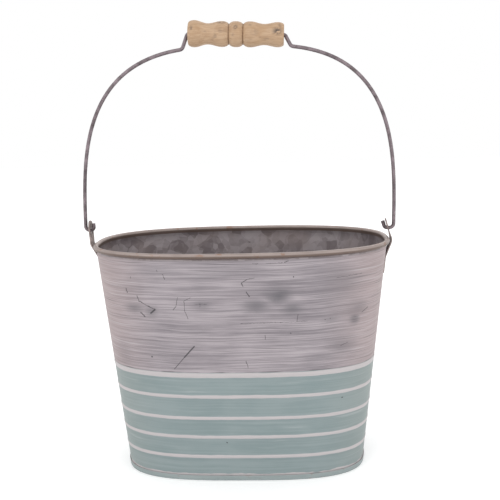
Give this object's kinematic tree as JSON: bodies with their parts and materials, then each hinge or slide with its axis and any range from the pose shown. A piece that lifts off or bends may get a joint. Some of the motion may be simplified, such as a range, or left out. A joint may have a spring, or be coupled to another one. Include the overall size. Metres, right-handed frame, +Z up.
{
  "type": "sand bucket",
  "caption": "Oval tapered sheet-steel sand bucket with ribbed lower wall, rolled rim, upright ears, a swinging wire bail and a turned wooden grip.",
  "frame": {"origin": "centre of the base ring on the ground, midway between the two ears", "axes": "+Z up; X along the oval's length, from ear to ear; Y across it, with the front at -Y"},
  "size_m": [0.2558, 0.151, 0.3589],
  "materials": {
    "painted_wall": "worn whitewash over zinc, with a pale blue-green band between white ribs",
    "zinc_sheet": "dull galvanised",
    "wire_steel": "dull, slightly rusty",
    "turned_wood": "bare, smudged with use"
  },
  "bodies": {
    "pail": {"wall_front": "painted_wall", "wall_back": "painted_wall", "rim_wire": "wire_steel", "base_plate": "zinc_sheet", "ear_left": "zinc_sheet", "ear_right": "zinc_sheet"},
    "bail": {"bail_wire": "wire_steel"},
    "grip": {"grip": "turned_wood"}
  },
  "joints": [
    {"name": "bail_swing", "type": "hinge", "parent": "pail", "child": "bail", "pos_m": [-0.00245, 0, 0.19234], "axis": [0.9999, 0, -0.0103], "range_deg": [-150, 150]},
    {"name": "grip_spin", "type": "hinge", "parent": "bail", "child": "grip", "pos_m": [0.0004, 0, 0.34714], "axis": [0.9991, 0, -0.0419], "continuous": true}
  ]
}
